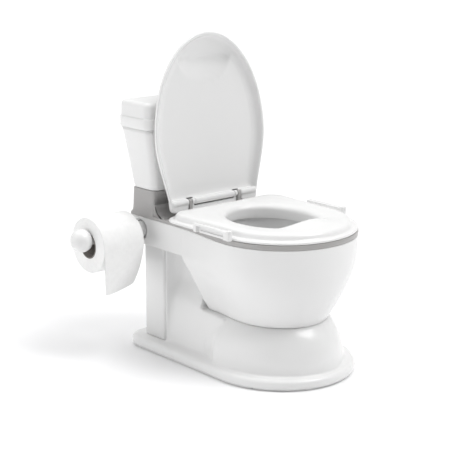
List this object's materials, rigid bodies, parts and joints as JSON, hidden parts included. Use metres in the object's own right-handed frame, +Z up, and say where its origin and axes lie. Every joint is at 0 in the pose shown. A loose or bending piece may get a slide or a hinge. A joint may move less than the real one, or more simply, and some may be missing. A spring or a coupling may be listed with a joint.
{
  "type": "potty training chair",
  "caption": "Toilet-shaped potty chair with hinged seat and lid, removable pot, cistern with lift-off cover and a side paper roll holder.",
  "frame": {"origin": "on the floor at the middle of the base plate's underside", "axes": "+Z up; -Y is the front, where the child's feet go; the paper roll is on the -X side"},
  "size_m": [0.3741, 0.3955, 0.5273],
  "materials": {
    "white_plastic": "satin injection-moulded polypropylene",
    "grey_plastic": "satin light grey polypropylene",
    "pot_plastic": "smooth off-white polypropylene",
    "pad_rubber": "soft matt anti-slip pad",
    "screw_steel": "zinc-plated fastener",
    "paper": "soft embossed tissue paper",
    "cardboard": "raw spiral-wound card tube"
  },
  "bodies": {
    "root": {"base_plate": "white_plastic", "rubber_pad_1": "pad_rubber", "rubber_pad_2": "pad_rubber", "rubber_pad_3": "pad_rubber", "rubber_pad_4": "pad_rubber", "pedestal": "white_plastic", "rear_column": "white_plastic", "bowl_shell": "white_plastic", "rim_deck": "grey_plastic", "tank": "white_plastic", "holder_socket": "white_plastic", "spindle": "white_plastic", "paper_sheet": "paper", "base_screw_1": "screw_steel", "base_screw_2": "screw_steel", "base_screw_3": "screw_steel", "base_screw_4": "screw_steel", "tank_screw_1": "screw_steel", "tank_screw_2": "screw_steel", "spindle_screw": "screw_steel", "hinge_pin_left": "screw_steel", "hinge_pin_right": "screw_steel"},
    "lid": {"lid": "white_plastic"},
    "seat": {"seat": "white_plastic"},
    "pot": {"pot": "pot_plastic"},
    "tank_lid": {"tank_lid": "white_plastic"},
    "knob": {"spindle_knob": "white_plastic"},
    "roll": {"roll_core": "cardboard", "paper_roll": "paper"}
  },
  "joints": [
    {"name": "lid_hinge", "type": "hinge", "parent": "root", "child": "lid", "pos_m": [0, 0.1015, 0.253], "axis": [-1, 0, 0], "range_deg": [-94, 0]},
    {"name": "seat_hinge", "type": "hinge", "parent": "root", "child": "seat", "pos_m": [0, 0.1015, 0.253], "axis": [-1, 0, 0], "range_deg": [0, 90]},
    {"name": "pot_lift", "type": "slide", "parent": "root", "child": "pot", "axis": [0, 0, 1], "range_m": [0, 0.075]},
    {"name": "tank_lid_lift", "type": "slide", "parent": "root", "child": "tank_lid", "axis": [0, 0.1736, 0.9848], "range_m": [0, 0.02]},
    {"name": "knob_pull", "type": "slide", "parent": "root", "child": "knob", "axis": [-1, 0, 0], "range_m": [0, 0.04]},
    {"name": "roll_spin", "type": "hinge", "parent": "root", "child": "roll", "pos_m": [-0.169, 0.164, 0.1935], "axis": [-1, 0, 0], "continuous": true}
  ],
  "couplings": [
    {"joint": "pot_lift", "follows": "seat_hinge", "m_per_rad": 0.045}
  ]
}
